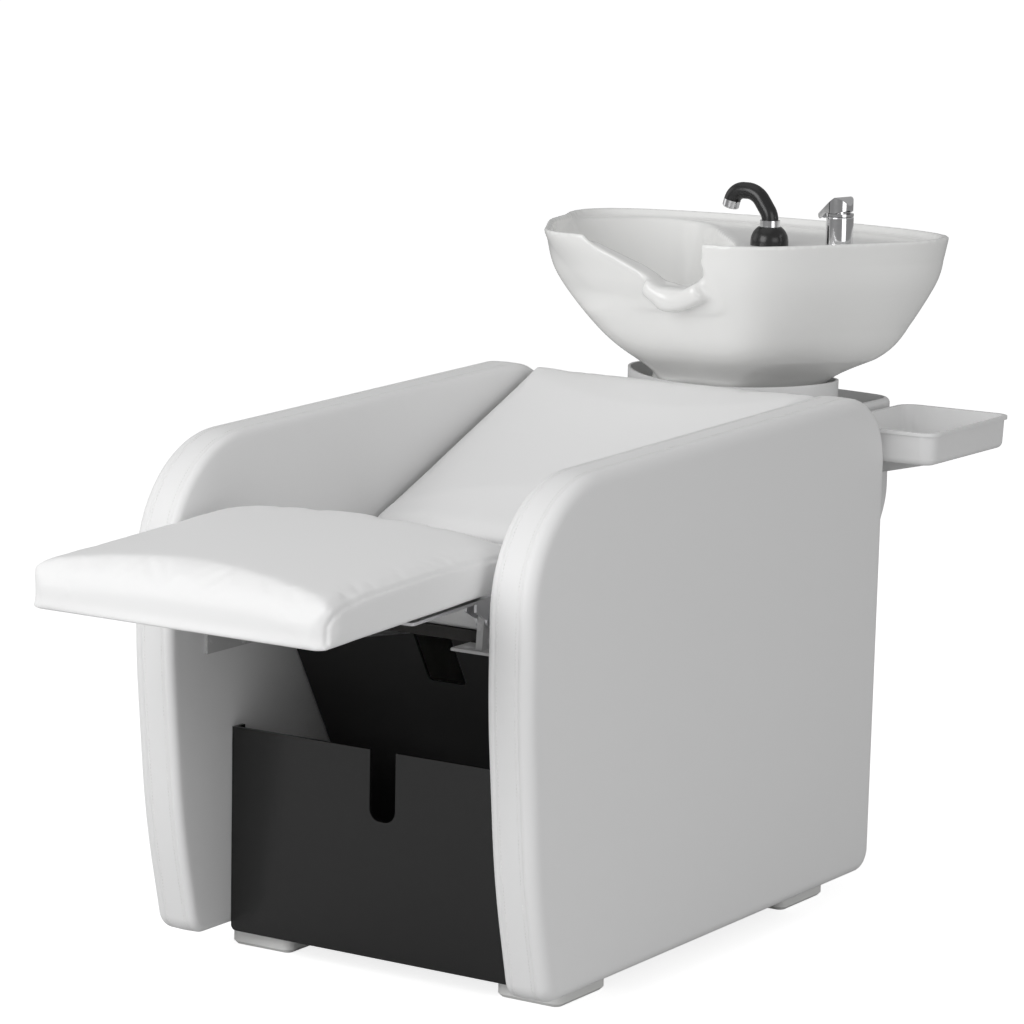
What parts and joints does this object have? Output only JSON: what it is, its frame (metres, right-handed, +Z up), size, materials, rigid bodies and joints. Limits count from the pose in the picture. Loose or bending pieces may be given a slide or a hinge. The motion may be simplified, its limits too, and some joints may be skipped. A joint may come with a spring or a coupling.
{
  "type": "hair washing bed",
  "caption": "Salon backwash bed: reclined seat between padded side panels, powered folding leg rest, tilting ceramic basin on a column with mixer tap, pull-out handset and side tray.",
  "frame": {"origin": "middle of the object's footprint, on the floor under the feet", "axes": "+Z up, +Y from the leg rest towards the basin, +X towards the side that carries the tray"},
  "size_m": [0.716, 1.572, 1.0328],
  "materials": {
    "white_upholstery": "white smooth synthetic leather with a fine grain",
    "panel_upholstery": "white smooth synthetic leather over a padded panel",
    "board": "raw birch plywood",
    "frame_steel": "satin black powder coat",
    "zinc_steel": "bright zinc plated",
    "bolt_steel": "zinc plated",
    "gloss_black": "high gloss black acrylic",
    "shield_black": "matte black sheet",
    "foot_white": "white moulded plastic, satin",
    "casing_white": "light moulded plastic, satin gloss",
    "tray_white": "white moulded plastic, satin",
    "ceramic": "white glazed vitreous china",
    "chrome": "polished chrome",
    "handle_black": "high gloss black",
    "rubber": "matte black",
    "drive_grey": "dark grey moulded plastic",
    "friction_lining": "pressed friction lining"
  },
  "bodies": {
    "root": {"back_board": "board", "back_bracket_left": "frame_steel", "back_bracket_right": "frame_steel", "back_cushion": "white_upholstery", "base_cross_front": "frame_steel", "base_cross_rear": "frame_steel", "base_tube_left": "frame_steel", "base_tube_right": "frame_steel", "column": "frame_steel", "column_arm": "frame_steel", "foot_bolts": "bolt_steel", "foot_front_left": "foot_white", "foot_front_right": "foot_white", "foot_rear_left": "foot_white", "foot_rear_right": "foot_white", "friction_discs": "friction_lining", "front_cover": "gloss_black", "mechanism_shield": "shield_black", "panel_bolts": "bolt_steel", "pivot_pins": "bolt_steel", "power_unit": "drive_grey", "rear_casing": "casing_white", "rear_cover": "shield_black", "seat_board": "board", "seat_bracket_left": "frame_steel", "seat_bracket_right": "frame_steel", "seat_cross_bar": "frame_steel", "seat_cushion": "white_upholstery", "side_panel_left": "panel_upholstery", "side_panel_right": "panel_upholstery", "tilt_bolt": "bolt_steel", "tray_bracket": "casing_white"},
    "leg_rest": {"leg_cushion": "white_upholstery", "leg_board": "board", "leg_fork_left": "zinc_steel", "leg_fork_right": "zinc_steel", "rod_clevis": "zinc_steel", "clevis_bolt": "bolt_steel"},
    "actuator": {"actuator_tube": "drive_grey", "gearbox": "drive_grey", "motor": "drive_grey"},
    "rod": {"actuator_rod": "zinc_steel", "rod_pin": "bolt_steel"},
    "basin_unit": {"basin_saddle": "frame_steel", "basin_collar": "casing_white", "basin_pad": "rubber", "saddle_bolts": "bolt_steel", "basin": "ceramic", "waste_body": "chrome", "waste_grate": "chrome", "basin_nuts": "bolt_steel", "handset_holder": "handle_black", "tap_gasket": "rubber", "tap_body": "chrome"},
    "tap_cap": {"tap_cap": "chrome"},
    "tap_lever": {"tap_lever": "chrome"},
    "handset": {"handset_collar": "chrome", "handset_handle": "handle_black", "spray_head": "chrome"},
    "tray": {"side_tray": "tray_white"}
  },
  "joints": [
    {"name": "leg_rest_fold", "type": "hinge", "parent": "root", "child": "leg_rest", "pos_m": [-0.038, -0.354, 0.53], "axis": [1, 0, 0], "range_deg": [0, 88]},
    {"name": "actuator_tilt", "type": "hinge", "parent": "root", "child": "actuator", "pos_m": [-0.038, 0.196, 0.43], "axis": [1, 0, 0], "range_deg": [0, 4.28]},
    {"name": "rod_slide", "type": "slide", "parent": "actuator", "child": "rod", "axis": [0, 0.9939, -0.1104], "range_m": [0, 0.11092]},
    {"name": "basin_tilt", "type": "hinge", "parent": "root", "child": "basin_unit", "pos_m": [-0.038, 0.616, 0.65], "axis": [1, 0, 0], "range_deg": [-8, 8]},
    {"name": "tap_turn", "type": "hinge", "parent": "basin_unit", "child": "tap_cap", "pos_m": [0.176, 0.532, 0.991], "axis": [0, 0, 1], "range_deg": [-45, 45]},
    {"name": "tap_lift", "type": "hinge", "parent": "tap_cap", "child": "tap_lever", "pos_m": [0.18089, 0.53096, 0.9995], "axis": [0.2079, 0.9781, 0], "range_deg": [0, 18]},
    {"name": "handset_pull", "type": "slide", "parent": "basin_unit", "child": "handset", "axis": [0, 0, 1], "range_m": [0, 0.15]},
    {"name": "tray_lift", "type": "slide", "parent": "root", "child": "tray", "axis": [0, 0, 1], "range_m": [0, 0.06]}
  ],
  "couplings": [
    {"joint": "actuator_tilt", "follows": "leg_rest_fold", "ratio": 0.048394},
    {"joint": "rod_slide", "follows": "leg_rest_fold", "m_per_rad": 0.07209}
  ]
}
